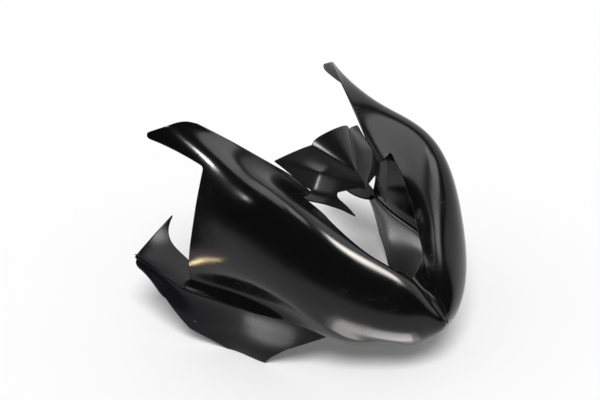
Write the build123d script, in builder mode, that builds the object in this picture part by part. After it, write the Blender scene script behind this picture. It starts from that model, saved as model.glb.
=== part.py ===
from build123d import *
import math
import os

os.makedirs("parts", exist_ok=True)

# Driving dimensions in millimetres: nose towards -Y, floor at Z = 0, X = 0 is the mirror plane
cowl_wall = 2.2
lower_wall = 4.0
fit_gap = 0.3
bond_gap = 0.8
cowl_stations = 25
nose_centre_y = -128
span = 420

# Arm and rear edge of the cowl, as (Y, Z) seen from the side
arm_notch = (165, 436)
arm_tip = (353, 458.5)
arm_corner = (254, 512)
rear_edge = [(175, 120), (170, 264), (167, 360), arm_notch]
arm_rounds = [(arm_tip, 6), (arm_corner, 30), (arm_notch, 8)]

# Screen base panel
slot_corner = (135, 74)
slot_end = (105, -32)
finger_tip = (43, -106)
panel_notch = (66, -56)
panel_beak = (0, -86)
blister_foot = (59, 29)
blister_back = (0, 18)
panel_radius = 1.5
panel_drop = 2.8

# Tongue screws
screw_at = (153, -23)
screw_head_radius = 5.0
screw_head_height = 2.6
screw_shank_radius = 2.5
screw_reach = 12.0
screw_play = 0.4
thread_gap = 0.1
lug_outline = [(116, -24), (136, -8), (165, -10), (165, -34), (148, -31), (139, -26)]
boss_radius = 6.5
boss_height = 10.0

# Lower panel bottom edge, as (Y, Z) seen from the side, from the horn to the front
skirt_edge = [(326, 186), (323, 160), (310, 147), (284, 134), (218, 107), (162, 41), (119, 20), (86, 0),
              (-17, 0), (-34, 21), (-70, 53), (-154, 104)]
flange_edge = [(184, 160), (162, 156), (74, 154), (-18, 154), (-98, 147), (-138, 118)]
flange_hole_radius = 3.5
pilot_hole_radius = 1.8
rear_holes = [(163, 73), (151, 62), (140, 52)]
front_holes = [(36, 9), (14, 12), (-8, 16)]


def fan(angle, reach, height):
    a = math.radians(angle)
    return (reach * math.cos(a), nose_centre_y - reach * math.sin(a), height)


def mirrored(points):
    return [(-x, *rest) for x, *rest in reversed(points) if x > 0]


# Feature lines of one half of the cowl, each from the arm round to the nose
edge_line = [(268, 357, 545), (187, 166, 480), (143, 74, 438), (111, -18, 392), (118, -98, 338),
             fan(25, 91, 283), fan(50, 94, 258), fan(72, 111, 240), (14, -288, 190), (0, -340, 143)]
crown_line = [(281, 357, 505), (228, 166, 472), (200, 74, 446), (180, -18, 411), (172, -98, 386),
              fan(25, 138, 309), fan(50, 137, 258), fan(72, 150, 236), (22, -306, 184), (0, -339, 139)]
shoulder_line = [(290, 357, 474), (252, 166, 460), (243, 74, 437), (234, -18, 428), (217, -98, 400),
                 fan(25, 180, 297), fan(50, 170, 238), fan(72, 180, 213), (28, -321, 168), (0, -337, 133)]
flank_line = [(295, 357, 450), (265, 166, 430), (268, 74, 408), (262, -18, 400), (252, -98, 366),
              fan(25, 208, 252), fan(50, 194, 200), fan(72, 198, 180), (30, -328, 152), (0, -334, 128)]
side_line = [(315, 357, 330), (300, 166, 275), (294, 74, 300), (285, -18, 305), (270, -98, 288),
             fan(25, 217, 195), fan(50, 201, 165), fan(72, 203, 150), (31, -329, 136), (0, -329, 121)]
tuck_line = [(340, 357, 230), (307, 166, 200), (291, 74, 215), (276, -18, 218), (260, -98, 210),
             fan(25, 207, 148), fan(50, 189, 130), fan(72, 196, 122), (30, -321, 117), (0, -322, 112)]
crease_line = [(338, 357, 200), (303, 166, 158), (272, 74, 157), (253, -18, 157), (234, -98, 150),
               fan(25, 188, 112), fan(50, 167, 100), fan(72, 180, 98), (28, -305, 98), (0, -310, 98)]
rim_line = [(352, 357, 195), (322, 166, 146), (294, 74, 141), (266, -18, 137), (230, -98, 131),
            fan(25, 163, 87), fan(50, 139, 79), fan(72, 157, 79), (25, -287, 79), (0, -290, 79)]
cowl_lines = [edge_line, crown_line, shoulder_line, flank_line, side_line, tuck_line, crease_line, rim_line]

guides = [Spline(*line, *mirrored(line)) for line in cowl_lines]
cowl_sections = [[guide @ (i / (cowl_stations - 1)) for guide in guides] for i in range(cowl_stations)]
section_edges = [Spline(*section) for section in cowl_sections]
cowl_face = Shell.make_loft([Wire(edge) for edge in section_edges]).face()


def sheet(sections, base, first_depth, last_depth):
    rings = []
    for section in sections:
        normals = [base.normal_at(point) for point in section]
        top = [p + n * first_depth for p, n in zip(section, normals)]
        under = [p + n * last_depth for p, n in zip(section, normals)]
        if section in (sections[0], sections[-1]):
            top = [Vector(p.X, section[0].Y, p.Z) for p in top]
            under = [Vector(p.X, section[0].Y, p.Z) for p in under]
        edges = [Spline(*top), Line(top[-1], under[-1]), Spline(*reversed(under)), Line(under[0], top[0])]
        rings.append(Wire(edges))
    return Solid.make_loft(rings)


# Nose web, a trough between the inner edges: place along the edge, then Z of the middle
web_places = [(0.405, 203), (0.4125, 200), (0.42, 198), (0.4275, 195), (0.435, 192), (0.4425, 190), (0.45, 188),
              (0.46, 182), (0.47, 173)]
web_wall = 4.0
web_lap = 2.0
web_depth = 0.7


def web_ring(place, middle_z):
    edge = guides[0] @ place
    outward = (guides[1] @ place - edge).normalized()
    hold = edge + outward * web_lap + cowl_face.normal_at(edge) * web_depth
    top = [hold, Vector(0, hold.Y, middle_z), Vector(-hold.X, hold.Y, hold.Z)]
    under = [point - Vector(0, 0, web_wall) for point in top]
    edges = [Spline(*top), Line(top[-1], under[-1]), Spline(*reversed(under)), Line(under[0], top[0])]
    return Wire(edges)


# Seat of the tongue screw on the cowl's outer face
seat, seat_normal = cowl_face.find_intersection_points(Axis((*screw_at, 0), (0, 0, 1)))[0]
lean = seat_normal if seat_normal.Z > 0 else -seat_normal
screw_planes = [Plane((k * seat.X, seat.Y, seat.Z), z_dir=(k * lean.X, lean.Y, lean.Z)) for k in (1, -1)]
lap = cowl_wall + fit_gap

with BuildPart() as nose_cowl:
    add(sheet(cowl_sections, cowl_face, 0, cowl_wall))
    add(Solid.make_loft([web_ring(*place) for place in web_places]))
    # Rear edge, arm underside and arm end
    with BuildSketch(Plane.YZ):
        with BuildLine():
            Polyline(arm_notch, arm_tip, arm_corner, (234, 504.7), (234, 620), (472, 620), (472, 40), (177, 40),
                     rear_edge[0])
            Spline(*rear_edge)
        make_face()
        for corner, radius in arm_rounds:
            fillet(vertices().sort_by_distance(corner)[0], radius)
    extrude(amount=span, both=True, mode=Mode.SUBTRACT)
    # Tongue end and the start of the nose opening
    with BuildSketch(Plane.XY.offset(250)):
        with BuildLine():
            Polyline((146, -21), (96, -26), (96, -100), (118, -100))
            Spline((118, -100), (137, -48), (146, -21))
        make_face()
        mirror(about=Plane.YZ)
    extrude(amount=250, mode=Mode.SUBTRACT)
    # Screw holes in the tongues
    with BuildSketch(*screw_planes):
        Circle(screw_shank_radius + screw_play)
    extrude(amount=3 * cowl_wall, both=True, mode=Mode.SUBTRACT)

nose_cowl.part.label = "nose_cowl"
export_step(nose_cowl.part, "parts/nose_cowl.step")

# Half sections of the screen base panel: Y, then (X, Z) of spine, plateau, crease, foot and outer edge
panel_sections = [
    (76, (0, 505), (60, 500), (131, 444), (137, 440), (170, 434)),
    (29, (0, 472), (59, 471), (109, 437), (123, 413), (170, 405)),
    (-24, (0, 434), (50, 433), (83, 428), (106, 386), (170, 381)),
    (-54, (0, 412.5), (28, 411.5), (48, 410), (74, 374), (170, 362)),
    (-79, (0, 394.5), (3, 393.5), (6, 392), (34, 360), (170, 342)),
    (-86, (0, 367), (3, 366), (6, 364), (34, 352), (170, 336)),
    (-110, (0, 335), (3, 334), (6, 332), (34, 325), (170, 306))]


def panel_band(top_drop, bottom_drop):
    bands = []
    for y, *half in panel_sections:
        across = mirrored(half) + half
        top = [(x, z - top_drop) for x, z in across]
        bottom = [(x, z - bottom_drop) for x, z in reversed(across)]
        with BuildSketch(Plane.XZ.offset(-y)) as band:
            with BuildLine():
                Polyline(*top, *bottom, close=True)
            make_face()
        bands.append(band.sketch.face())
    return bands


# Blister sections: Y, height of the panel, half width and rise
blister_sections = [(44, 482, 70, 28), (29, 471, 59, 24), (5, 453.7, 43, 18), (-18, 437, 27, 11.5),
                    (-38, 422.8, 12, 5.2), (-52, 412.7, 2, 1.2)]
blister_slope = math.degrees(math.atan2(482 - 412.7, 32 + 64))


def blister_ovals(inset):
    ovals = []
    for y, z, half_width, rise in blister_sections:
        with BuildSketch(Plane((0, y, z), (1, 0, 0), (0, -1, 0)).rotated((blister_slope, 0, 0))) as oval:
            Ellipse(half_width * (1 - inset / 59), rise * (1 - inset / 24))
        ovals.append(oval.sketch.face())
    return ovals


with BuildPart() as screen_base_panel:
    loft(panel_band(0, panel_drop), ruled=True)
    loft(blister_ovals(0))
    loft(blister_ovals(cowl_wall), mode=Mode.SUBTRACT)
    loft(panel_band(panel_drop, 160), ruled=True, mode=Mode.SUBTRACT)
    right_side = [slot_corner, slot_end, *lug_outline, finger_tip, panel_notch]
    with BuildSketch(Plane.XY.offset(250)):
        with BuildLine():
            Polyline(blister_back, blister_foot, *right_side, panel_beak, *mirrored(right_side),
                     (-blister_foot[0], blister_foot[1]), blister_back)
        make_face()
        for x, y in (finger_tip, panel_notch):
            fillet(vertices().sort_by_distance((x, y))[0], panel_radius)
            fillet(vertices().sort_by_distance((-x, y))[0], panel_radius)
    extrude(amount=350, mode=Mode.INTERSECT)
    # Boss on each lug, up to the underside of the tongue
    with BuildSketch(*[plane.offset(-lap) for plane in screw_planes]):
        Circle(boss_radius)
    extrude(amount=-boss_height)
    with BuildSketch(*screw_planes):
        Circle(screw_shank_radius + thread_gap)
    extrude(amount=-2 * boss_height, mode=Mode.SUBTRACT)

screen_base_panel.part.label = "screen_base_panel"
export_step(screen_base_panel.part, "parts/screen_base_panel.step")

# Lower panel lines of one half, from the horn to the front
skirt_top = [(341, 334, 178), (331, 223, 159), (317, 166, 144), (304, 119, 141), (289, 74, 139),
             (263, -9, 137), (224, -98, 134), (181, -153, 110)]
skirt_waist = [(339, 334, 166), (327, 223, 142), (311, 166, 122), (296, 119, 116), (281, 74, 113),
               (257, -9, 110), (219, -98, 105), (183, -153, 90)]
skirt_crease = [(341, 334, 160), (337, 223, 125), (319, 166, 80), (297, 119, 55), (276, 74, 38),
                (258, -9, 36), (220, -98, 60), (181, -153, 75)]
skirt_foot = [(342, 334, 150), (340, 223, 95), (315, 166, 20), (288, 119, -4), (264, 74, -8),
              (250, -9, -8), (212, -98, 20), (178, -153, 50)]
skirt_lines = [Spline(*line) for line in (skirt_top, skirt_waist, skirt_crease, skirt_foot)]
skirt_stations = 13
skirt_sections = [[line @ (i / (skirt_stations - 1)) for line in skirt_lines] for i in range(skirt_stations)]
skirt_face = Shell.make_loft([Wire(Spline(*section)) for section in skirt_sections]).face()

shelf_sections = [
    [Vector(322, 176, 147), Vector(311, 176, 146), Vector(299, 176, 145)],
    [Vector(334, 223, 161), Vector(298, 223, 162), Vector(258, 224, 168)],
    [Vector(342, 274, 171), Vector(300, 274, 176), Vector(259, 275, 187)],
    [Vector(344, 326, 173), Vector(300, 326, 199), Vector(218, 326, 240)]]
shelf_face = Shell.make_loft([Wire(Spline(*section)) for section in shelf_sections]).face()


def bore_plane(y, z):
    point, normal = skirt_face.find_intersection_points(Axis((0, y, z), (1, 0, 0)))[0]
    return Plane(point, z_dir=normal).offset(-2 * lower_wall)


flange_sections = []
for edge, section in zip(section_edges[:10], cowl_sections[:10]):
    start = edge.param_at_point(section[6])
    flange_sections.append([edge @ (start + (1 - start) * k / 3) for k in range(4)])

with BuildPart() as left_lower_panel:
    # Top flange lapped under the cowl's ledge
    add(sheet(flange_sections, cowl_face, cowl_wall + bond_gap, cowl_wall + bond_gap + lower_wall))
    with BuildSketch(Plane.YZ):
        with BuildLine():
            Polyline(*flange_edge, (-138, 60), (184, 60), close=True)
        make_face()
    extrude(amount=span, mode=Mode.INTERSECT)
    add(sheet(skirt_sections, skirt_face, 0, lower_wall))
    add(sheet(shelf_sections, shelf_face, 0, lower_wall))
    # Bottom edge, from the horn round to the front
    with BuildSketch(Plane.YZ):
        with BuildLine():
            Polyline(*skirt_edge, (-188, 104), (-188, -60), (372, -60), (372, 186), close=True)
        make_face()
    extrude(amount=span, mode=Mode.SUBTRACT)
    # Drilled flange
    with BuildSketch(bore_plane(*rear_holes[1]), bore_plane(*front_holes[1])):
        Circle(flange_hole_radius)
    extrude(amount=4 * lower_wall, mode=Mode.SUBTRACT)
    with BuildSketch(*[bore_plane(*hole) for hole in rear_holes[::2] + front_holes[::2]]):
        Circle(pilot_hole_radius)
    extrude(amount=4 * lower_wall, mode=Mode.SUBTRACT)

left_lower_panel.part.label = "left_lower_panel"
export_step(left_lower_panel.part, "parts/left_lower_panel.step")

with BuildPart() as right_lower_panel:
    add(mirror(left_lower_panel.part, about=Plane.YZ, mode=Mode.PRIVATE))

right_lower_panel.part.label = "right_lower_panel"
export_step(right_lower_panel.part, "parts/right_lower_panel.step")

with BuildPart() as bridge_screws:
    with BuildSketch(*screw_planes):
        Circle(screw_head_radius)
    extrude(amount=screw_head_height, taper=12)
    with BuildSketch(*screw_planes):
        Circle(screw_shank_radius)
    extrude(amount=-screw_reach)

bridge_screws.part.label = "bridge_screws"
export_step(bridge_screws.part, "parts/bridge_screws.step")
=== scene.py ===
import bpy
import math
import numpy as np
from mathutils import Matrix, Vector


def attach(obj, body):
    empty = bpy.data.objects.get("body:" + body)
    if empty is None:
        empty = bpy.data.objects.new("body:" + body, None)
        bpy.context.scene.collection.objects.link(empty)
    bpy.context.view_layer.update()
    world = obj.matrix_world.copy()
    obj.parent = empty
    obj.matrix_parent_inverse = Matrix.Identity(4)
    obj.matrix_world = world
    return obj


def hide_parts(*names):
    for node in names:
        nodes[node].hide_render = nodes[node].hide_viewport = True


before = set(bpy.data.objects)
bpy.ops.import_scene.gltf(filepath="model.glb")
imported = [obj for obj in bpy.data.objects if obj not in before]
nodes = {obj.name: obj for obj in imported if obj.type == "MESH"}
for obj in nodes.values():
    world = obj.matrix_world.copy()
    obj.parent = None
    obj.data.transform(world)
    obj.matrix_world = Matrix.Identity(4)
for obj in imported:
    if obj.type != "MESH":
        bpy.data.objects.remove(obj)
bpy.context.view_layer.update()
scene = bpy.context.scene
mm = 0.001
print("frame loaded:", ", ".join(sorted(nodes)))


# smooth curve through points, even spacing along it
def curveThrough(points, amounts):
    p = np.array(points, float)
    k = np.concatenate([[0.0], np.cumsum(np.linalg.norm(np.diff(p, axis=0), axis=1))])
    n = len(p)
    if n == 2:
        return p[0] + (p[1] - p[0]) * np.asarray(amounts)[:, None]

    def endSlope(at, use):
        out = np.zeros(3)
        for i in use:
            others = [j for j in use if j != i]
            w = sum(np.prod([k[at] - k[m] for m in others if m != j]) for j in others)
            out = out + p[i] * w / np.prod([k[i] - k[j] for j in others])
        return out

    near = min(4, n)
    a = np.zeros((n, n))
    b = np.zeros((n, 3))
    a[0, 0] = a[-1, -1] = 1
    b[0] = endSlope(0, list(range(near)))
    b[-1] = endSlope(n - 1, list(range(n - near, n)))
    for i in range(1, n - 1):
        h0 = k[i] - k[i - 1]
        h1 = k[i + 1] - k[i]
        a[i, i - 1] = h1
        a[i, i] = 2 * (h0 + h1)
        a[i, i + 1] = h0
        b[i] = 3 * (h1 * (p[i] - p[i - 1]) / h0 + h0 * (p[i + 1] - p[i]) / h1)
    m = np.linalg.solve(a, b)

    def at(t):
        i = np.clip(np.searchsorted(k, t, side="right") - 1, 0, n - 2)
        h = (k[i + 1] - k[i])[:, None]
        s = ((t - k[i]) / (k[i + 1] - k[i]))[:, None]
        return ((2 * s ** 3 - 3 * s ** 2 + 1) * p[i] + (s ** 3 - 2 * s ** 2 + s) * h * m[i]
                + (3 * s ** 2 - 2 * s ** 3) * p[i + 1] + (s ** 3 - s ** 2) * h * m[i + 1])

    fine = np.linspace(0, k[-1], 40 * n)
    run = np.concatenate([[0.0], np.cumsum(np.linalg.norm(np.diff(at(fine), axis=0), axis=1))])
    return at(np.interp(np.asarray(amounts) * run[-1], run, fine))


# grid of points: rows run along the lines, columns cross them
def gridThrough(lines, along, across):
    guides = np.array([curveThrough(line, along) for line in lines])
    return np.array([curveThrough(guides[:, i], across) for i in range(len(along))])


def roundedOutline(points, radii, steps=7):
    out = []
    n = len(points)
    for i in range(n):
        r = radii.get(i, 0)
        p = np.array(points[i], float)
        if r == 0:
            out.append(p)
            continue
        u = np.array(points[i - 1], float) - p
        v = np.array(points[(i + 1) % n], float) - p
        u = u / np.linalg.norm(u)
        v = v / np.linalg.norm(v)
        half = math.acos(np.clip(u @ v, -1, 1)) / 2
        mid = (u + v) / np.linalg.norm(u + v)
        centre = p + mid * r / math.sin(half)
        first = p + u * r / math.tan(half) - centre
        last = p + v * r / math.tan(half) - centre
        for s in range(steps + 1):
            d = first * (1 - s / steps) + last * s / steps
            out.append(centre + d / np.linalg.norm(d) * r)
    return np.array(out)


# distance to a closed outline, negative inside it
def outlineField(outline, pts):
    best = np.full(len(pts), 1e9)
    inside = np.zeros(len(pts), bool)
    for i in range(len(outline)):
        a = outline[i - 1]
        b = outline[i]
        d = b - a
        s = np.clip(((pts - a) @ d) / max(d @ d, 1e-12), 0, 1)
        best = np.minimum(best, np.linalg.norm(pts - a - s[:, None] * d, axis=1))
        crosses = (a[1] > pts[:, 1]) != (b[1] > pts[:, 1])
        if crosses.any():
            x = a[0] + (pts[:, 1] - a[1]) * d[0] / (d[1] if d[1] != 0 else 1e-12)
            inside ^= crosses & (pts[:, 0] < x)
    return np.where(inside, -best, best)


def gridFaces(rows, cols):
    i, j = np.meshgrid(np.arange(rows - 1), np.arange(cols - 1), indexing="ij")
    a = (i * cols + j).ravel()
    return np.stack([a, a + cols, a + cols + 1, a + 1], axis=1).tolist()


# cut a mesh where the field goes below zero
def trimmed(verts, faces, field):
    value = field(verts)
    value = np.where(np.abs(value) < 1e-4, 1e-4, value)
    inside = value > 0
    v = [tuple(p) for p in verts]
    made = {}
    out = []
    for f in faces:
        keep = [inside[i] for i in f]
        if all(keep):
            out.append(list(f))
            continue
        if not any(keep):
            continue
        ring = []
        for n in range(len(f)):
            i = f[n]
            j = f[(n + 1) % len(f)]
            if inside[i]:
                ring.append(i)
            if inside[i] != inside[j]:
                key = (min(i, j), max(i, j))
                if key not in made:
                    s = value[i] / (value[i] - value[j])
                    p = np.array(v[i]) * (1 - s) + np.array(v[j]) * s
                    made[key] = len(v)
                    v.append(tuple(p))
                ring.append(made[key])
        if len(ring) > 2:
            out.append(ring)
    used = sorted({i for f in out for i in f})
    place = {old: new for new, old in enumerate(used)}
    return np.array([v[i] for i in used]), [[place[i] for i in f] for f in out]


# give a trimmed sheet its thickness, with a rounded rim
def thickened(verts, faces, depth, steps=4):
    normals = np.zeros_like(verts)
    for f in faces:
        p = verts[f]
        if len(f) > 3:
            normals[f] += np.cross(p[2] - p[0], p[3] - p[1])
        else:
            normals[f] += np.cross(p[1] - p[0], p[2] - p[0])
    normals /= np.maximum(np.linalg.norm(normals, axis=1), 1e-12)[:, None]
    edges = [(f[n], f[(n + 1) % len(f)]) for f in faces for n in range(len(f))]
    known = set(edges)
    border = [e for e in edges if (e[1], e[0]) not in known]
    outward = np.zeros_like(verts)
    for a, b in border:
        d = verts[b] - verts[a]
        o = np.cross(d, normals[a] + normals[b])
        outward[a] += o
        outward[b] += o
    outward /= np.maximum(np.linalg.norm(outward, axis=1), 1e-12)[:, None]
    count = len(verts)
    allVerts = [verts, verts - normals * depth]
    allFaces = [list(f) for f in faces] + [[i + count for i in reversed(f)] for f in faces]
    rim = sorted({i for e in border for i in e})
    ring = {i: [i] for i in rim}
    nextIndex = 2 * count
    extra = []
    for s in range(1, steps):
        t = math.pi * s / steps
        for i in rim:
            turned = outward[i] * math.sin(t) - normals[i] * (1 - math.cos(t))
            extra.append(verts[i] + turned * depth / 2)
            ring[i].append(nextIndex)
            nextIndex += 1
    for i in rim:
        ring[i].append(i + count)
    for a, b in border:
        for s in range(steps):
            allFaces.append([ring[b][s], ring[a][s], ring[a][s + 1], ring[b][s + 1]])
    return np.concatenate(allVerts + [np.array(extra)]), allFaces


# keep only the largest connected part of a trimmed sheet
def largest(part):
    v, f = part
    root = list(range(len(v)))

    def find(i):
        while root[i] != i:
            root[i] = root[root[i]]
            i = root[i]
        return i

    for face in f:
        for i in face[1:]:
            root[find(i)] = find(face[0])
    homes = [find(face[0]) for face in f]
    best = max(set(homes), key=homes.count)
    kept = [face for face, home in zip(f, homes) if home == best]
    used = sorted({i for face in kept for i in face})
    place = {old: new for new, old in enumerate(used)}
    return v[used], [[place[i] for i in face] for face in kept]


# take the ripples out along the rows, holding each column as hard as its weight says
def faired(grid, hold, strength):
    rows, cols = grid.shape[:2]
    bend = np.zeros((rows - 2, rows))
    for i in range(rows - 2):
        bend[i, i:i + 3] = (1, -2, 1)
    stiff = bend.T @ bend
    out = grid.copy()
    for j in range(cols):
        if strength[j] > 0:
            out[:, j] = np.linalg.solve(np.diag(hold) + strength[j] * stiff, hold[:, None] * grid[:, j])
    return out


def joined(*parts):
    verts = []
    faces = []
    count = 0
    for v, f in parts:
        verts.append(v)
        faces += [[i + count for i in face] for face in f]
        count += len(v)
    return np.concatenate(verts), faces


def mirroredMesh(part):
    v, f = part
    return v * np.array([-1, 1, 1]), [list(reversed(face)) for face in f]


def makePiece(name, part, material, slot, *covers):
    v, f = part
    mesh = bpy.data.meshes.new(name)
    mesh.from_pydata((v * mm).tolist(), [], f)
    mesh.update()
    for poly in mesh.polygons:
        poly.use_smooth = True
    mesh.set_sharp_from_angle(angle=math.radians(50))
    mesh.materials.append(material)
    piece = bpy.data.objects.new(name, mesh)
    scene.collection.objects.link(piece)
    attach(piece, "root")
    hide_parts(*covers)
    print(name, "faces:", len(f))
    return piece


# materials
def newGroup(name, inputs, outputs):
    g = bpy.data.node_groups.new(name, "ShaderNodeTree")
    for label, kind, start in inputs:
        s = g.interface.new_socket(label, in_out="INPUT", socket_type=kind)
        if start is not None:
            s.default_value = start
    for label, kind in outputs:
        g.interface.new_socket(label, in_out="OUTPUT", socket_type=kind)
    return g, g.nodes.new("NodeGroupInput"), g.nodes.new("NodeGroupOutput")


def mapRange(tree, value, low, high, outLow, outHigh):
    n = tree.nodes.new("ShaderNodeMapRange")
    tree.links.new(value, n.inputs[0])
    for i, x in zip((1, 2, 3, 4), (low, high, outLow, outHigh)):
        n.inputs[i].default_value = x
    return n.outputs[0]


def noise(tree, vector, scale, detail=4.0, rough=0.55):
    n = tree.nodes.new("ShaderNodeTexNoise")
    n.inputs["Scale"].default_value = scale
    n.inputs["Detail"].default_value = detail
    n.inputs["Roughness"].default_value = rough
    tree.links.new(vector, n.inputs["Vector"])
    return n.outputs["Fac"]


def math2(tree, kind, a, b):
    n = tree.nodes.new("ShaderNodeMath")
    n.operation = kind
    for socket, value in zip(n.inputs, (a, b)):
        if isinstance(value, (int, float)):
            socket.default_value = value
        else:
            tree.links.new(value, socket)
    return n.outputs[0]


def objectCoords(tree, stretch=(1, 1, 1), turn=0.0):
    coords = tree.nodes.new("ShaderNodeTexCoord")
    place = tree.nodes.new("ShaderNodeMapping")
    place.inputs["Scale"].default_value = stretch
    place.inputs["Rotation"].default_value = (0, turn, turn)
    tree.links.new(coords.outputs["Object"], place.inputs["Vector"])
    return place.outputs["Vector"]


# thin settled dust: more on what faces up
dustGroup, dustIn, dustOut = newGroup("settledDust", [("Amount", "NodeSocketFloat", 0.5)],
                                      [("Mask", "NodeSocketFloat")])
geo = dustGroup.nodes.new("ShaderNodeNewGeometry")
split = dustGroup.nodes.new("ShaderNodeSeparateXYZ")
dustGroup.links.new(geo.outputs["Normal"], split.inputs[0])
up = mapRange(dustGroup, split.outputs["Z"], 0.1, 1.0, 0.15, 1.0)
cloud = mapRange(dustGroup, noise(dustGroup, objectCoords(dustGroup), 9.0), 0.38, 0.7, 0.2, 1.0)
speck = mapRange(dustGroup, noise(dustGroup, objectCoords(dustGroup), 900.0, 2.0), 0.56, 0.72, 0.0, 1.0)
settled = math2(dustGroup, "MULTIPLY", math2(dustGroup, "MULTIPLY", up, cloud), speck)
dustGroup.links.new(math2(dustGroup, "MULTIPLY", settled, dustIn.outputs["Amount"]), dustOut.inputs["Mask"])

# sparse handling scratches, in two directions
scratchGroup, scratchIn, scratchOut = newGroup("fineScratches", [("Amount", "NodeSocketFloat", 0.5)],
                                               [("Mask", "NodeSocketFloat"), ("Height", "NodeSocketFloat")])
lines = None
for stretch, turn in (((3, 160, 12), 0.5), ((9, 14, 190), -0.7)):
    thin = noise(scratchGroup, objectCoords(scratchGroup, stretch, turn), 1.0, 2.0)
    off = math2(scratchGroup, "ABSOLUTE", math2(scratchGroup, "SUBTRACT", thin, 0.5), 0)
    line = mapRange(scratchGroup, off, 0.0, 0.006, 1.0, 0.0)
    lines = line if lines is None else math2(scratchGroup, "MAXIMUM", lines, line)
where = mapRange(scratchGroup, noise(scratchGroup, objectCoords(scratchGroup), 14.0), 0.56, 0.68, 0.0, 1.0)
marks = math2(scratchGroup, "MULTIPLY", lines, where)
marks = math2(scratchGroup, "MULTIPLY", marks, scratchIn.outputs["Amount"])
scratchGroup.links.new(marks, scratchOut.inputs["Mask"])
scratchGroup.links.new(math2(scratchGroup, "MULTIPLY", marks, -1.0), scratchOut.inputs["Height"])

# moulded surface: slow waves and a fine skin, and uneven gloss
mouldGroup, mouldIn, mouldOut = newGroup("mouldedSkin", [("Roughness", "NodeSocketFloat", 0.25),
                                                         ("Unevenness", "NodeSocketFloat", 0.05)],
                                         [("Roughness", "NodeSocketFloat"), ("Height", "NodeSocketFloat")])
slow = noise(mouldGroup, objectCoords(mouldGroup), 16.0, 2.0)
fine = noise(mouldGroup, objectCoords(mouldGroup), 420.0, 3.0)
smear = mapRange(mouldGroup, noise(mouldGroup, objectCoords(mouldGroup), 7.0, 5.0, 0.65), 0.3, 0.7, -1.0, 1.0)
drift = math2(mouldGroup, "MULTIPLY", smear, mouldIn.outputs["Unevenness"])
gloss = math2(mouldGroup, "ADD", mouldIn.outputs["Roughness"], drift)
mouldGroup.links.new(gloss, mouldOut.inputs["Roughness"])
waves = math2(mouldGroup, "ADD", slow, math2(mouldGroup, "MULTIPLY", fine, 0.06))
mouldGroup.links.new(waves, mouldOut.inputs["Height"])


def useGroup(tree, group, **values):
    n = tree.nodes.new("ShaderNodeGroup")
    n.node_tree = group
    for label, value in values.items():
        n.inputs[label].default_value = value
    return n


wear = {"dustColour": (0.35, 0.34, 0.32), "scratchTint": 0.12, "scratchRough": 0.3}


def plastic(name, look):
    mat = bpy.data.materials.new(name)
    mat.use_nodes = True
    tree = mat.node_tree
    shader = tree.nodes["Principled BSDF"]
    shader.inputs["Specular IOR Level"].default_value = look["specular"]
    dust = useGroup(tree, dustGroup, Amount=look["dust"])
    scratch = useGroup(tree, scratchGroup, Amount=look["scratches"])
    skin = useGroup(tree, mouldGroup, Roughness=look["rough"], Unevenness=look["uneven"])
    mix = tree.nodes.new("ShaderNodeMix")
    mix.data_type = "RGBA"
    mix.inputs["A"].default_value = (*look["colour"], 1)
    mix.inputs["B"].default_value = (*wear["dustColour"], 1)
    tint = math2(tree, "MULTIPLY", scratch.outputs["Mask"], wear["scratchTint"])
    worn = math2(tree, "ADD", dust.outputs["Mask"], tint)
    tree.links.new(worn, mix.inputs["Factor"])
    tree.links.new(mix.outputs["Result"], shader.inputs["Base Color"])
    scuff = math2(tree, "MULTIPLY", scratch.outputs["Mask"], wear["scratchRough"])
    tree.links.new(math2(tree, "ADD", skin.outputs["Roughness"], scuff), shader.inputs["Roughness"])
    bump = tree.nodes.new("ShaderNodeBump")
    bump.inputs["Strength"].default_value = 1.0
    bump.inputs["Distance"].default_value = look["relief"] * mm
    height = math2(tree, "ADD", skin.outputs["Height"], scratch.outputs["Height"])
    tree.links.new(height, bump.inputs["Height"])
    tree.links.new(bump.outputs["Normal"], shader.inputs["Normal"])
    return mat


cowlLook = {"colour": (0.003, 0.003, 0.0032), "rough": 0.2, "uneven": 0.04, "specular": 0.28, "dust": 0.012,
            "scratches": 0.5, "relief": 0.12}
panelLook = {"colour": (0.005, 0.005, 0.0055), "rough": 0.3, "uneven": 0.05, "specular": 0.4, "dust": 0.02,
             "scratches": 0.3, "relief": 0.1}
lowerLook = {"colour": (0.005, 0.005, 0.006), "rough": 0.28, "uneven": 0.05, "specular": 0.14, "dust": 0.012,
             "scratches": 0.5, "relief": 0.12}
cowlPlastic = plastic("cowl plastic", cowlLook)
panelPlastic = plastic("panel plastic", panelLook)
lowerPlastic = plastic("lower plastic", lowerLook)

# nose cowl: lines from the inner edge out to the rim, in mm, the nose part as a fan round noseCentre
noseCentre = -128


def fan(angle, reach, height):
    a = math.radians(angle)
    return (reach * math.cos(a), noseCentre - reach * math.sin(a), height)


def whole(line):
    return list(line) + [(-x, y, z) for x, y, z in reversed(line) if x > 0]


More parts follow.
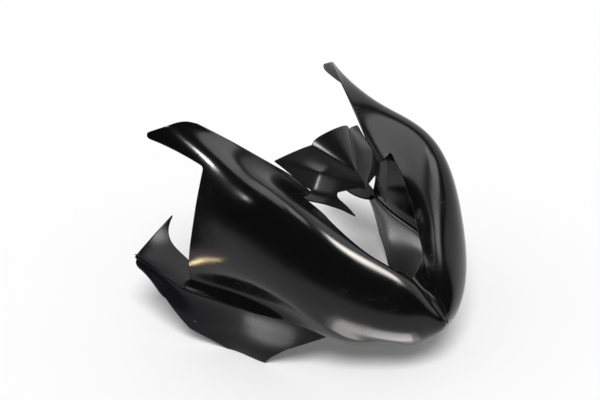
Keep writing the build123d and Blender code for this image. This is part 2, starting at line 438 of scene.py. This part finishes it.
cowl = {"wall": 2.2, "rows": 321, "columns": 101, "fair": 15000.0, "fairAcross": 120.0}
cowlLines = [
    [(268, 357, 545), (187, 166, 480), (143, 74, 438), (111, -18, 392), (118, -98, 338),
     fan(25, 91, 283), fan(50, 94, 258), fan(72, 111, 240), (14, -288, 190), (0, -339.8, 143)],
    [(281, 357, 505), (228, 166, 472), (202, 74, 450), (184, -18, 420), (173, -98, 386),
     fan(25, 136, 303), fan(50, 135, 255), fan(72, 148, 233), (22, -305, 184), (0, -339, 139)],
    [(290, 357, 474), (252, 166, 462), (249, 73, 446), (244, -20, 440), (222, -99, 405),
     fan(25, 176, 290), fan(50, 166, 234), fan(72, 176, 210), (27, -319, 168), (0, -337, 133)],
    [(295, 357, 450), (265, 166, 430), (275, 73, 416), (273, -20, 411), (257, -99, 370),
     fan(25, 203, 247), fan(50, 189, 197), fan(72, 193, 178), (28, -325, 152), (0, -334, 128)],
    [(315, 357, 330), (300, 166, 275), (296, 74, 300), (288, -18, 305), (270, -98, 288),
     fan(25, 212, 195), fan(50, 196, 165), fan(72, 197, 150), (29, -325, 136), (0, -329, 121)],
    [(340, 357, 230), (307, 166, 200), (291, 74, 215), (276, -18, 218), (260, -98, 210),
     fan(25, 205, 148), fan(50, 187, 130), fan(72, 192, 122), (29, -319, 117), (0, -322, 112)],
    [(338, 357, 200), (303, 166, 158), (272, 74, 157), (253, -18, 157), (234, -98, 150),
     fan(25, 188, 112), fan(50, 167, 100), fan(72, 180, 98), (28, -305, 98), (0, -310, 98)],
    [(352, 357, 195), (322, 166, 146), (294, 74, 141), (266, -18, 137), (230, -98, 131),
     fan(25, 163, 87), fan(50, 139, 79), fan(72, 157, 79), (25, -287, 79), (0, -290, 79)]]
cowlLines = [whole(line) for line in cowlLines]
edgeIn = cowl["wall"] / 2 / 560
alongCowl = np.linspace(0, 1, cowl["rows"])
acrossCowl = np.linspace(edgeIn, 1 - edgeIn, cowl["columns"])
cowlGrid = gridThrough(cowlLines, alongCowl, acrossCowl)

# smooth it, but hold the nose tip, the arm ends, the inner edge and the ledge
fromTip = np.abs(np.linspace(-1, 1, cowl["rows"]))
hold = np.where(fromTip < 0.14, 40.0, 1.0) + np.where(fromTip > 0.97, 500.0, 0)
hold[cowl["rows"] // 2] = 400
fromEdge = np.linspace(0, 1, cowl["columns"])
strength = cowl["fair"] * np.clip(fromEdge / 0.1, 0, 1) ** 2 * np.clip((0.86 - fromEdge) / 0.1, 0, 1) ** 2
cowlGrid = faired(cowlGrid, hold, strength)
holdAcross = np.where(fromEdge < 0.02, 400.0, 1.0) + np.where(fromEdge > 0.72, 400.0, 0)
softAcross = cowl["fairAcross"] * np.clip((fromTip - 0.03) / 0.12, 0, 1)
cowlGrid = faired(cowlGrid.transpose(1, 0, 2), holdAcross, softAcross).transpose(1, 0, 2)

# rear edge and arm, seen from the side as (Y, Z)
armNotch = (165, 436)
rearPoints = [(0, 175, 120), (0, 170, 264), (0, 167, 360), (0, *armNotch)]
rearCurve = curveThrough(rearPoints, np.linspace(0, 1, 16))[:, 1:]
rearOutline = [tuple(p) for p in rearCurve] + [(353, 458.5), (258, 511.5), (196, 500), (196, 620), (472, 620),
                                             (472, 40), (177, 40)]
rearOutline = roundedOutline(rearOutline, {15: 8, 16: 9, 17: 44})
tongueCurve = curveThrough([(118, -100, 0), (137, -48, 0), (146, -21, 0)], np.linspace(0, 1, 10))[:, :2]
tongueOutline = np.array([(146, -21), (96, -26), (96, -100)] + [tuple(p) for p in tongueCurve[:-1]], float)
halfWall = cowl["wall"] / 2


def cowlRear(p):
    return outlineField(rearOutline, p[:, 1:]) - halfWall


def cowlTongue(p):
    flat = np.stack([np.abs(p[:, 0]), p[:, 1]], axis=1)
    return np.where(p[:, 2] > 250, outlineField(tongueOutline, flat) - halfWall, 50)


cowlVerts = cowlGrid.reshape(-1, 3)
cowlFaces = gridFaces(cowl["rows"], cowl["columns"])
cowlSheet = trimmed(cowlVerts, cowlFaces, cowlRear)
cowlSheet = trimmed(*cowlSheet, cowlTongue)

# web between the inner edges at the nose: place along the edge, middle Z
webWall = 3.4
webPlaces = [(0.405, 203), (0.4125, 200), (0.42, 198), (0.4275, 195), (0.435, 192), (0.4425, 190),
             (0.45, 188), (0.46, 182), (0.47, 173), (0.48, 162), (0.4875, 153.5)]
webLeft = []
for place, middle in webPlaces:
    near = np.array([curveThrough(line, [place - 0.002, place, place + 0.002]) for line in cowlLines])
    into = curveThrough(near[:, 1], [0, 0.01])
    side = np.cross(near[0, 2] - near[0, 0], into[1] - into[0])
    side *= -np.sign(side[2]) / np.linalg.norm(side)
    out = near[1, 1] - near[0, 1]
    webLeft.append(near[0, 1] + out / np.linalg.norm(out) * 2 + side * 0.7)
webMiddle = [(0, p[1], m[1]) for p, m in zip(webLeft, webPlaces)]
webRight = [p * np.array([-1, 1, 1]) for p in webLeft]
webGrid = gridThrough([webLeft, webMiddle, webRight], np.linspace(0.012, 0.995, 70), np.linspace(0, 1, 41))
webSheet = (webGrid.reshape(-1, 3), gridFaces(*webGrid.shape[:2]))
cowlMesh = joined(thickened(*cowlSheet, cowl["wall"]), thickened(*webSheet, webWall))
cowlSkin = makePiece("cowlSkin", cowlMesh, cowlPlastic, "cowl_plastic", "nose_cowl")

# screen base panel: Y, then (X, Z) of the middle, the fold top, the fold foot, the slot and the lug
panel = {"wall": 2.8, "rows": 220, "columns": 240, "soften": 45, "softenFoot": 5}
panelSections = [
    (76, (0, 505), (60, 500), (131, 444), (137, 440), (170, 434)),
    (29, (0, 472), (59, 471), (109, 437), (123, 413), (170, 405)),
    (-24, (0, 434), (50, 433), (83, 428), (106, 386), (170, 381)),
    (-54, (0, 412.5), (28, 411.5), (48, 410), (74, 374), (170, 362)),
    (-79, (0, 394.5), (3, 393.5), (6, 392), (34, 360), (170, 342)),
    (-86, (0, 367), (3, 366), (6, 364), (34, 352), (170, 336)),
    (-110, (0, 335), (3, 334), (6, 332), (34, 325), (170, 306))]
stationY = np.array([s[0] for s in panelSections], float)
rowsY = np.linspace(76, -110, panel["rows"])
featureX = [np.interp(-rowsY, -stationY, [s[k][0] for s in panelSections]) for k in range(1, 6)]
featureZ = [np.interp(-rowsY, -stationY, [s[k][1] for s in panelSections]) for k in range(1, 6)]
spread = np.concatenate([np.linspace(0, 1, 34, endpoint=False), np.linspace(1, 2, 30, endpoint=False),
                         np.linspace(2, 3, 26, endpoint=False), np.linspace(3, 4, 30)])


def featureAt(table, amount, row):
    return np.interp(amount, range(5), [f[row] for f in table])


half = np.array([[(featureAt(featureX, a, i), rowsY[i], featureAt(featureZ, a, i)) for a in spread]
                 for i in range(panel["rows"])])
panelGrid = np.concatenate([half[:, :0:-1] * np.array([-1, 1, 1]), half], axis=1)


def softened(grid, times):
    for step in range(times):
        inner = grid.copy()
        sides = grid[:-2, 1:-1] + grid[2:, 1:-1] + grid[1:-1, :-2] + grid[1:-1, 2:]
        inner[1:-1, 1:-1] = (grid[1:-1, 1:-1] * 4 + sides) / 8
        grid = inner
    return grid


panelGrid = softened(panelGrid, panel["soften"])

# blister: Y, Z, half width, rise
blister = [(44, 482, 70, 28), (29, 471, 59, 24), (5, 453.7, 43, 18), (-18, 437, 27, 11.5),
           (-38, 422.8, 12, 5.2), (-52, 412.7, 2, 1.2)]
lean = math.atan2(482 - 412.7, 96)
downhill = np.array([0, -math.cos(lean), -math.sin(lean)])
outOf = np.array([0, -math.sin(lean), math.cos(lean)])
base = np.array([0, 29, 471.0])
stops = [(np.array([0, y, z]) - base) @ downhill for y, z, w, r in blister]
rel = panelGrid - base
along = rel @ downhill
height = rel @ outOf
wide = np.interp(along, stops, [b[2] for b in blister])
rise = np.interp(along, stops, [b[3] for b in blister])
dome = rise * np.clip(1 - (panelGrid[..., 0] / wide) ** 2, 0, 1) ** 0.7
lift = np.where(np.abs(panelGrid[..., 0]) < wide, np.maximum(dome - np.minimum(height, 40), 0), 0)
lift = np.where(along < stops[-1], lift, 0)
panelGrid = panelGrid + lift[..., None] * outOf
panelGrid = softened(panelGrid, panel["softenFoot"])

# outline from above: side, slot, lug and the W front edge
rightSide = [(135, 74), (109, -18), (119, -10), (137, 4), (165, 0), (165, -34), (148, -31), (139, -26),
             (43, -106), (66, -56)]
leftSide = [(-x, y) for x, y in reversed(rightSide)]
rearArc = [(x, 29 - 11 * (1 - (x / 59) ** 2)) for x in np.linspace(-59, 59, 25)]
panelOutline = rearArc + rightSide + [(0, -86)] + leftSide
panelOutline = roundedOutline(panelOutline, {33: 1.5, 34: 1.5, 36: 1.5, 37: 1.5}, 4)


def panelEdge(p):
    return -outlineField(panelOutline, p[:, :2]) - panel["wall"] / 2


panelSheet = largest(trimmed(panelGrid.reshape(-1, 3), gridFaces(*panelGrid.shape[:2]), panelEdge))
panelSkin = makePiece("panelSkin", thickened(*panelSheet, panel["wall"]), panelPlastic, "panel_plastic",
                      "screen_base_panel")

# lower panels
lower = {"wall": 4.0, "rows": 200, "columns": 60, "bond": 0.8, "bigHole": 3.5, "smallHole": 1.8}
skirtLines = [
    [(341, 334, 178), (331, 223, 159), (317, 166, 144), (304, 119, 141), (289, 74, 139),
     (263, -9, 137), (224, -98, 134), (181, -153, 110)],
    [(339, 334, 166), (327, 223, 142), (311, 166, 122), (296, 119, 116), (281, 74, 113),
     (257, -9, 110), (219, -98, 105), (183, -153, 90)],
    [(341, 334, 160), (337, 223, 125), (319, 166, 80), (297, 119, 55), (276, 74, 38),
     (258, -9, 36), (220, -98, 60), (181, -153, 75)],
    [(342, 334, 150), (340, 223, 95), (315, 166, 20), (288, 119, -4), (264, 74, -8),
     (250, -9, -8), (212, -98, 20), (178, -153, 50)]]
shelfSections = [
    [(322, 176, 147), (311, 176, 146), (299, 176, 145)],
    [(334, 223, 161), (298, 223, 162), (258, 224, 168)],
    [(342, 274, 171), (300, 274, 176), (259, 275, 187)],
    [(344, 326, 173), (300, 326, 199), (218, 326, 240)]]
skirtEdge = [(326, 186), (323, 160), (310, 147), (284, 134), (218, 107), (162, 41), (119, 20), (86, 0),
             (-17, 0), (-34, 21), (-70, 53), (-154, 104), (-188, 104), (-188, -60), (372, -60), (372, 186)]
skirtOutline = np.array(skirtEdge, float)
bigHoles = [(151, 62), (14, 12)]
smallHoles = [(163, 73), (140, 52), (36, 9), (-8, 16)]
skirtGrid = gridThrough(skirtLines, np.linspace(0, 1, lower["rows"]), np.linspace(0.015, 1, lower["columns"]))
shelfLines = np.array(shelfSections).transpose(1, 0, 2)
shelfGrid = gridThrough(shelfLines, np.linspace(0, 0.985, 70), np.linspace(0.02, 0.98, 40))

# flange under the cowl's ledge
flangeEdge = np.array([(184, 160), (162, 156), (74, 154), (-18, 154), (-98, 147), (-138, 118), (-138, 60),
                       (184, 60)], float)
ledge = gridThrough(cowlLines, np.linspace(0.06, 0.42, 110), np.linspace(0.84, 1 - edgeIn, 30))
across = np.gradient(ledge, axis=1)
length = np.gradient(ledge, axis=0)
inward = -np.cross(length, across)
inward /= np.linalg.norm(inward, axis=2)[..., None]
flangeGrid = ledge + inward * (cowl["wall"] + lower["bond"])


def lowerEdge(p):
    gap = outlineField(skirtOutline, p[:, 1:]) - lower["wall"] / 2
    for y, z in bigHoles:
        gap = np.minimum(gap, np.hypot(p[:, 1] - y, p[:, 2] - z) - lower["bigHole"])
    for y, z in smallHoles:
        gap = np.minimum(gap, np.hypot(p[:, 1] - y, p[:, 2] - z) - lower["smallHole"])
    return gap


def flangeKeep(p):
    return -outlineField(flangeEdge, p[:, 1:]) - 2


skirtSheet = trimmed(skirtGrid.reshape(-1, 3), gridFaces(*skirtGrid.shape[:2]), lowerEdge)
shelfSheet = trimmed(shelfGrid.reshape(-1, 3), gridFaces(*shelfGrid.shape[:2]), lowerEdge)
flangeSheet = trimmed(flangeGrid.reshape(-1, 3), gridFaces(*flangeGrid.shape[:2]), flangeKeep)
leftLower = joined(thickened(*skirtSheet, lower["wall"]), thickened(*shelfSheet, lower["wall"]),
                   thickened(*flangeSheet, lower["wall"]))
leftSkin = makePiece("leftLowerSkin", leftLower, lowerPlastic, "lower_plastic", "left_lower_panel")
rightSkin = makePiece("rightLowerSkin", mirroredMesh(leftLower), lowerPlastic, "lower_plastic",
                      "right_lower_panel")

# screws keep their solid
steel = bpy.data.materials.new("screw steel")
steel.use_nodes = True
steelShader = steel.node_tree.nodes["Principled BSDF"]
steelShader.inputs["Base Color"].default_value = (0.02, 0.02, 0.022, 1)
steelShader.inputs["Metallic"].default_value = 1
steelShader.inputs["Roughness"].default_value = 0.35
nodes["bridge_screws"].data.materials.clear()
nodes["bridge_screws"].data.materials.append(steel)
print("pieces made")

# floor and background
floorMesh = bpy.data.meshes.new("floor")
floorMesh.from_pydata([(-30, -30, 0), (30, -30, 0), (30, 30, 0), (-30, 30, 0)], [], [(0, 1, 2, 3)])
floor = bpy.data.objects.new("floor", floorMesh)
scene.collection.objects.link(floor)
floorMat = bpy.data.materials.new("floor")
floorMat.use_nodes = True
floorShader = floorMat.node_tree.nodes["Principled BSDF"]
floorShader.inputs["Base Color"].default_value = (0.9, 0.9, 0.9, 1)
floorShader.inputs["Roughness"].default_value = 0.9
floorShader.inputs["Specular IOR Level"].default_value = 0.0
floorMesh.materials.append(floorMat)

world = bpy.data.worlds.new("studio")
scene.world = world
world.use_nodes = True
air = {"ambient": 0.42, "seen": 1.0}
worldTree = world.node_tree
sky = worldTree.nodes["Background"]
sky.inputs["Color"].default_value = (1, 1, 1, 1)
path = worldTree.nodes.new("ShaderNodeLightPath")
seen = path.outputs["Is Camera Ray"]
for label in ("Is Glossy Ray", "Is Transmission Ray"):
    either = worldTree.nodes.new("ShaderNodeMath")
    either.operation = "MAXIMUM"
    worldTree.links.new(seen, either.inputs[0])
    worldTree.links.new(path.outputs[label], either.inputs[1])
    seen = either.outputs[0]
worldTree.links.new(mapRange(worldTree, seen, 0, 1, air["ambient"], air["seen"]), sky.inputs["Strength"])

# black cards round the set, only for what the gloss shows
cardMat = bpy.data.materials.new("black card")
cardMat.use_nodes = True
cardShader = cardMat.node_tree.nodes["Principled BSDF"]
cardShader.inputs["Base Color"].default_value = (0, 0, 0, 1)
cardShader.inputs["Specular IOR Level"].default_value = 0
cards = {
    "left card": [(-0.8, -2.4, 0.01), (-0.8, 2.2, 0.01), (-1.25, 2.2, 3.2), (-1.25, -2.4, 3.2)],
    "front card": [(-1.25, -2.4, 0.01), (2.6, -2.4, 0.01), (2.6, -2.4, 3.2), (-1.25, -2.4, 3.2)],
    "top card": [(-1.25, -2.4, 3.2), (2.6, -2.4, 3.2), (2.6, 2.2, 3.2), (-1.25, 2.2, 3.2)]}
for name, corners in cards.items():
    mesh = bpy.data.meshes.new(name)
    mesh.from_pydata(corners, [], [(0, 1, 2, 3)])
    mesh.materials.append(cardMat)
    card = bpy.data.objects.new(name, mesh)
    scene.collection.objects.link(card)
    card.visible_camera = False
    card.visible_diffuse = False
    card.visible_shadow = False


# soft boxes, seen only in the gloss of the pieces named: level is the brightness in a mirror,
# spread narrows the beam, and a box with no aim lies on the floor and shines up, turned by turn
def softBox(name, place, size, level, only, aim=None, turn=0, colour=(1, 1, 1), spread=180):
    lamp = bpy.data.lights.new(name, "AREA")
    lamp.shape = "RECTANGLE"
    lamp.size = size[0]
    lamp.size_y = size[1]
    lamp.energy = level * math.pi * size[0] * size[1]
    if spread < 180:
        h = math.radians(spread / 2)
        lamp.spread = 2 * h
        lamp.energy *= (math.tan(h) - h) / math.tan(h)
    lamp.color = colour
    box = bpy.data.objects.new(name, lamp)
    box.location = place
    if aim:
        box.rotation_euler = (Vector(aim) - Vector(place)).to_track_quat("-Z", "Y").to_euler()
    else:
        box.rotation_euler = (math.pi, 0, math.radians(turn))
    box.visible_camera = False
    box.visible_diffuse = False
    scene.collection.objects.link(box)
    lit = bpy.data.collections.new(name)
    for piece in only:
        lit.objects.link(piece)
    box.light_linking.receiver_collection = lit


boxes = {
    "overhead": {"place": (0.3, 0.42, 2.3), "aim": (0.3, 0.3, 0), "size": (1.5, 1.5), "level": 3.6,
                 "only": [cowlSkin, panelSkin, leftSkin, rightSkin]},
    "far cheek": {"place": (0.6, -0.7, 2.3), "aim": (0.15, -0.1, 0.35), "size": (0.8, 0.8), "level": 6,
                  "only": [cowlSkin]},
    "nose patch": {"place": (0.15, -0.33, 0.51), "aim": (-0.138, -0.2, 0.303), "size": (0.17, 0.17),
                   "level": 46, "only": [cowlSkin], "colour": (1, 0.97, 0.9), "spread": 30},
    "arm glint": {"place": (-0.82, 0.46, 0.8), "aim": (-0.25, 0.15, 0.452), "size": (0.14, 0.3),
                  "level": 300, "only": [cowlSkin], "spread": 14},
    "blister glint": {"place": (-0.64, -0.55, 0.57), "aim": (-0.05, 0.02, 0.47), "size": (0.2, 0.2),
                      "level": 80, "only": [panelSkin], "spread": 30},
    "horn light": {"place": (-0.48, -0.54, 2.3), "aim": (-0.3, 0.28, 0.2), "size": (0.7, 0.7), "level": 36,
                   "only": [rightSkin]},
    "inner glint": {"place": (0.08, 0.46, 0.004), "size": (0.16, 0.6), "level": 7, "only": [leftSkin],
                    "turn": 24.8},
    "chin glint": {"place": (-0.18, -0.29, 0.004), "size": (0.08, 0.27), "level": 6.5, "only": [cowlSkin],
                   "turn": 63.4, "colour": (1, 0.98, 0.95)},
    "chin halo": {"place": (-0.18, -0.29, 0.003), "size": (0.12, 0.33), "level": 1.5, "only": [cowlSkin],
                  "turn": 63.4, "colour": (1, 0.98, 0.95)},
    "skirt glint": {"place": (-0.39, -0.02, 0.004), "size": (0.05, 0.18), "level": 18, "only": [rightSkin]},
    "gold glint": {"place": (-0.575, 0.341, 0.004), "aim": (-0.303, 0.144, 0.217), "size": (0.05, 0.04),
                   "level": 110, "only": [cowlSkin], "colour": (1, 0.78, 0.42), "spread": 14}}
for name, box in boxes.items():
    softBox(name, **box)

# key from over the camera, for the floor and its shadow
sun = {"energy": 2.7, "angle": 25, "towards": (0.42, 0.42, -0.8)}
keyData = bpy.data.lights.new("key", "SUN")
keyData.energy = sun["energy"]
keyData.angle = math.radians(sun["angle"])
key = bpy.data.objects.new("key", keyData)
key.rotation_euler = Vector(sun["towards"]).to_track_quat("-Z", "Y").to_euler()
key.visible_glossy = False
scene.collection.objects.link(key)
print("lights set:", len(boxes) + 1)

# camera
view = {"place": (-2.290, -2.228, 2.018), "azimuth": -44.2, "down": 28, "lens": 95.34}
camData = bpy.data.cameras.new("camera")
camData.lens = view["lens"]
camData.sensor_width = 36
camData.clip_end = 100
cam = bpy.data.objects.new("camera", camData)
cam.location = view["place"]
az = math.radians(view["azimuth"])
el = math.radians(view["down"])
look = Vector((-math.sin(az) * math.cos(el), math.cos(az) * math.cos(el), -math.sin(el)))
cam.rotation_euler = look.to_track_quat("-Z", "Y").to_euler()
scene.collection.objects.link(cam)
scene.camera = cam
scene.view_settings.view_transform = "Standard"
